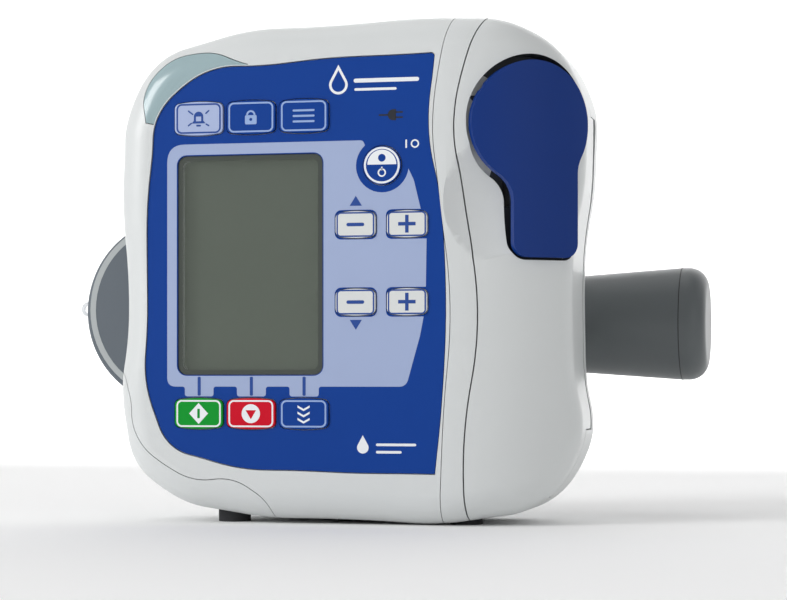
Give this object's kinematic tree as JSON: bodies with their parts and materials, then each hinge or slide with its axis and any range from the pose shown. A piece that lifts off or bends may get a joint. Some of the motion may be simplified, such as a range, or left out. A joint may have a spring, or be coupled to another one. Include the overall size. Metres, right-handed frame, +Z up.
{
  "type": "infusion pump",
  "caption": "Compact enteral infusion pump with key panel, curved side door with lift lever, inner roller rotor and a rear pole holder with a screw clamp.",
  "frame": {"origin": "middle of the pump's base, on the plane its feet stand on", "axes": "+X to the viewer's right, +Y to the back, +Z up; the key panel faces -Y"},
  "size_m": [0.1822, 0.0903, 0.1381],
  "materials": {
    "housing_white": "satin moulded ABS",
    "inner_grey": "matte moulded",
    "lens_clear": "translucent diffusing",
    "panel_blue": "printed polyester, fine grain",
    "display_glass": "clear cover window",
    "display_face": "unlit reflective LCD",
    "circuit_board": "green solder mask",
    "steel": "plain steel",
    "rotor_plastic": "acetal",
    "brass_part": "plain brass",
    "battery_wrap": "shrink sleeve",
    "dark_plastic": "matte moulded",
    "soft_rubber": "matte rubber",
    "holder_white": "satin moulded",
    "clamp_grey": "bead-blasted casting",
    "lever_blue": "smooth gloss",
    "release_grey": "fine matte",
    "loop_clear": "clear nylon",
    "knob_grey": "fine spark-eroded",
    "key_lavender": "printed polyester",
    "key_green": "printed polyester",
    "key_red": "printed polyester",
    "key_white": "printed polyester"
  },
  "bodies": {
    "pump": {"front_housing": "housing_white", "alarm_lens": "lens_clear", "battery_cover": "housing_white", "keypad_panel": "panel_blue", "display_window": "display_glass", "display_module": "display_face", "main_board": "circuit_board", "key_switches": "steel", "alarm_leds": "lens_clear", "channel_frame": "housing_white", "rear_housing": "housing_white", "rotor_bushes": "brass_part", "gearbox": "steel", "pump_motor": "steel", "motor_bracket": "steel", "battery_pack": "battery_wrap", "loudspeaker": "dark_plastic", "tube_sensors": "dark_plastic", "charging_contacts": "brass_part", "case_screws": "steel", "rubber_feet": "soft_rubber", "hinge_pins": "steel", "holder_body": "holder_white", "release_pin": "steel", "holder_buffers": "soft_rubber", "docking_studs": "steel", "clamp_body": "clamp_grey"},
    "door": {"door_shell": "housing_white", "door_inner_plate": "inner_grey", "lever_pin": "steel", "plate_springs": "steel"},
    "lever": {"door_lever": "lever_blue", "latch_hook": "steel"},
    "press": {"pressing_plate": "inner_grey"},
    "rotor": {"rotor": "rotor_plastic", "roller_axles": "steel", "rotor_shaft": "steel", "gearbox_shaft": "steel", "shaft_coupling": "brass_part"},
    "roller_1": {"roller_1": "rotor_plastic"},
    "roller_2": {"roller_2": "rotor_plastic"},
    "roller_3": {"roller_3": "rotor_plastic"},
    "release": {"release_lever": "release_grey", "tether_loop": "loop_clear"},
    "pad": {"clamp_pad": "soft_rubber"},
    "knob": {"clamp_screw": "steel", "clamp_knob": "knob_grey", "knob_cap": "knob_grey"},
    "key_mute": {"key_mute": "key_lavender"},
    "key_lock": {"key_lock": "panel_blue"},
    "key_menu": {"key_menu": "panel_blue"},
    "key_start": {"key_start": "key_green"},
    "key_stop": {"key_stop": "key_red"},
    "key_fill": {"key_fill": "panel_blue"},
    "key_minus_upper": {"key_minus_upper": "key_white"},
    "key_plus_upper": {"key_plus_upper": "key_white"},
    "key_minus_lower": {"key_minus_lower": "key_white"},
    "key_plus_lower": {"key_plus_lower": "key_white"},
    "key_power": {"key_power": "key_white"}
  },
  "joints": [
    {"name": "door_hinge", "type": "hinge", "parent": "pump", "child": "door", "pos_m": [0.0595, 0.008, 0.069], "axis": [0, 0, 1], "range_deg": [0, 80]},
    {"name": "lever_lift", "type": "hinge", "parent": "door", "child": "lever", "pos_m": [0.05137, -0.01365, 0.118], "axis": [-0.829, -0.5592, 0], "range_deg": [0, 32], "stiffness_Nm_per_rad": 0.05},
    {"name": "press_float", "type": "slide", "parent": "door", "child": "press", "axis": [0, -1, 0], "range_m": [0, 0.0008], "stiffness_N_per_m": 1500},
    {"name": "rotor_spin", "type": "hinge", "parent": "pump", "child": "rotor", "pos_m": [0.0455, 0.0035, 0.048], "axis": [1, 0, 0], "continuous": true},
    {"name": "roller_1_spin", "type": "hinge", "parent": "rotor", "child": "roller_1", "pos_m": [0.0455, -0.0055, 0.048], "axis": [1, 0, 0], "continuous": true},
    {"name": "roller_2_spin", "type": "hinge", "parent": "rotor", "child": "roller_2", "pos_m": [0.0455, 0.008, 0.05579], "axis": [1, 0, 0], "continuous": true},
    {"name": "roller_3_spin", "type": "hinge", "parent": "rotor", "child": "roller_3", "pos_m": [0.0455, 0.008, 0.04021], "axis": [1, 0, 0], "continuous": true},
    {"name": "release_swing", "type": "hinge", "parent": "pump", "child": "release", "pos_m": [-0.068, 0.029, 0.0595], "axis": [0, 0, -1], "range_deg": [0, 15], "stiffness_Nm_per_rad": 0.1},
    {"name": "knob_turn", "type": "hinge", "parent": "pad", "child": "knob", "pos_m": [0.06, 0.049, 0.056], "axis": [1, 0, 0], "range_deg": [0, 1440]},
    {"name": "pad_feed", "type": "slide", "parent": "pump", "child": "pad", "axis": [-1, 0, 0], "range_m": [0, 0.01205]},
    {"name": "key_mute_press", "type": "slide", "parent": "pump", "child": "key_mute", "axis": [0, 1, 0], "range_m": [0, 0.0006], "stiffness_N_per_m": 800},
    {"name": "key_lock_press", "type": "slide", "parent": "pump", "child": "key_lock", "axis": [0, 1, 0], "range_m": [0, 0.0006], "stiffness_N_per_m": 800},
    {"name": "key_menu_press", "type": "slide", "parent": "pump", "child": "key_menu", "axis": [0, 1, 0], "range_m": [0, 0.0006], "stiffness_N_per_m": 800},
    {"name": "key_start_press", "type": "slide", "parent": "pump", "child": "key_start", "axis": [0, 1, 0], "range_m": [0, 0.0006], "stiffness_N_per_m": 800},
    {"name": "key_stop_press", "type": "slide", "parent": "pump", "child": "key_stop", "axis": [0, 1, 0], "range_m": [0, 0.0006], "stiffness_N_per_m": 800},
    {"name": "key_fill_press", "type": "slide", "parent": "pump", "child": "key_fill", "axis": [0, 1, 0], "range_m": [0, 0.0006], "stiffness_N_per_m": 800},
    {"name": "key_minus_upper_press", "type": "slide", "parent": "pump", "child": "key_minus_upper", "axis": [0, 1, 0], "range_m": [0, 0.0006], "stiffness_N_per_m": 800},
    {"name": "key_plus_upper_press", "type": "slide", "parent": "pump", "child": "key_plus_upper", "axis": [0, 1, 0], "range_m": [0, 0.0006], "stiffness_N_per_m": 800},
    {"name": "key_minus_lower_press", "type": "slide", "parent": "pump", "child": "key_minus_lower", "axis": [0, 1, 0], "range_m": [0, 0.0006], "stiffness_N_per_m": 800},
    {"name": "key_plus_lower_press", "type": "slide", "parent": "pump", "child": "key_plus_lower", "axis": [0, 1, 0], "range_m": [0, 0.0006], "stiffness_N_per_m": 800},
    {"name": "key_power_press", "type": "slide", "parent": "pump", "child": "key_power", "axis": [0, 1, 0], "range_m": [0, 0.0006], "stiffness_N_per_m": 800}
  ],
  "couplings": [
    {"joint": "roller_1_spin", "follows": "rotor_spin", "ratio": -3.25},
    {"joint": "roller_2_spin", "follows": "rotor_spin", "ratio": -3.25},
    {"joint": "roller_3_spin", "follows": "rotor_spin", "ratio": -3.25},
    {"joint": "pad_feed", "follows": "knob_turn", "m_per_rad": 0.00047746}
  ]
}
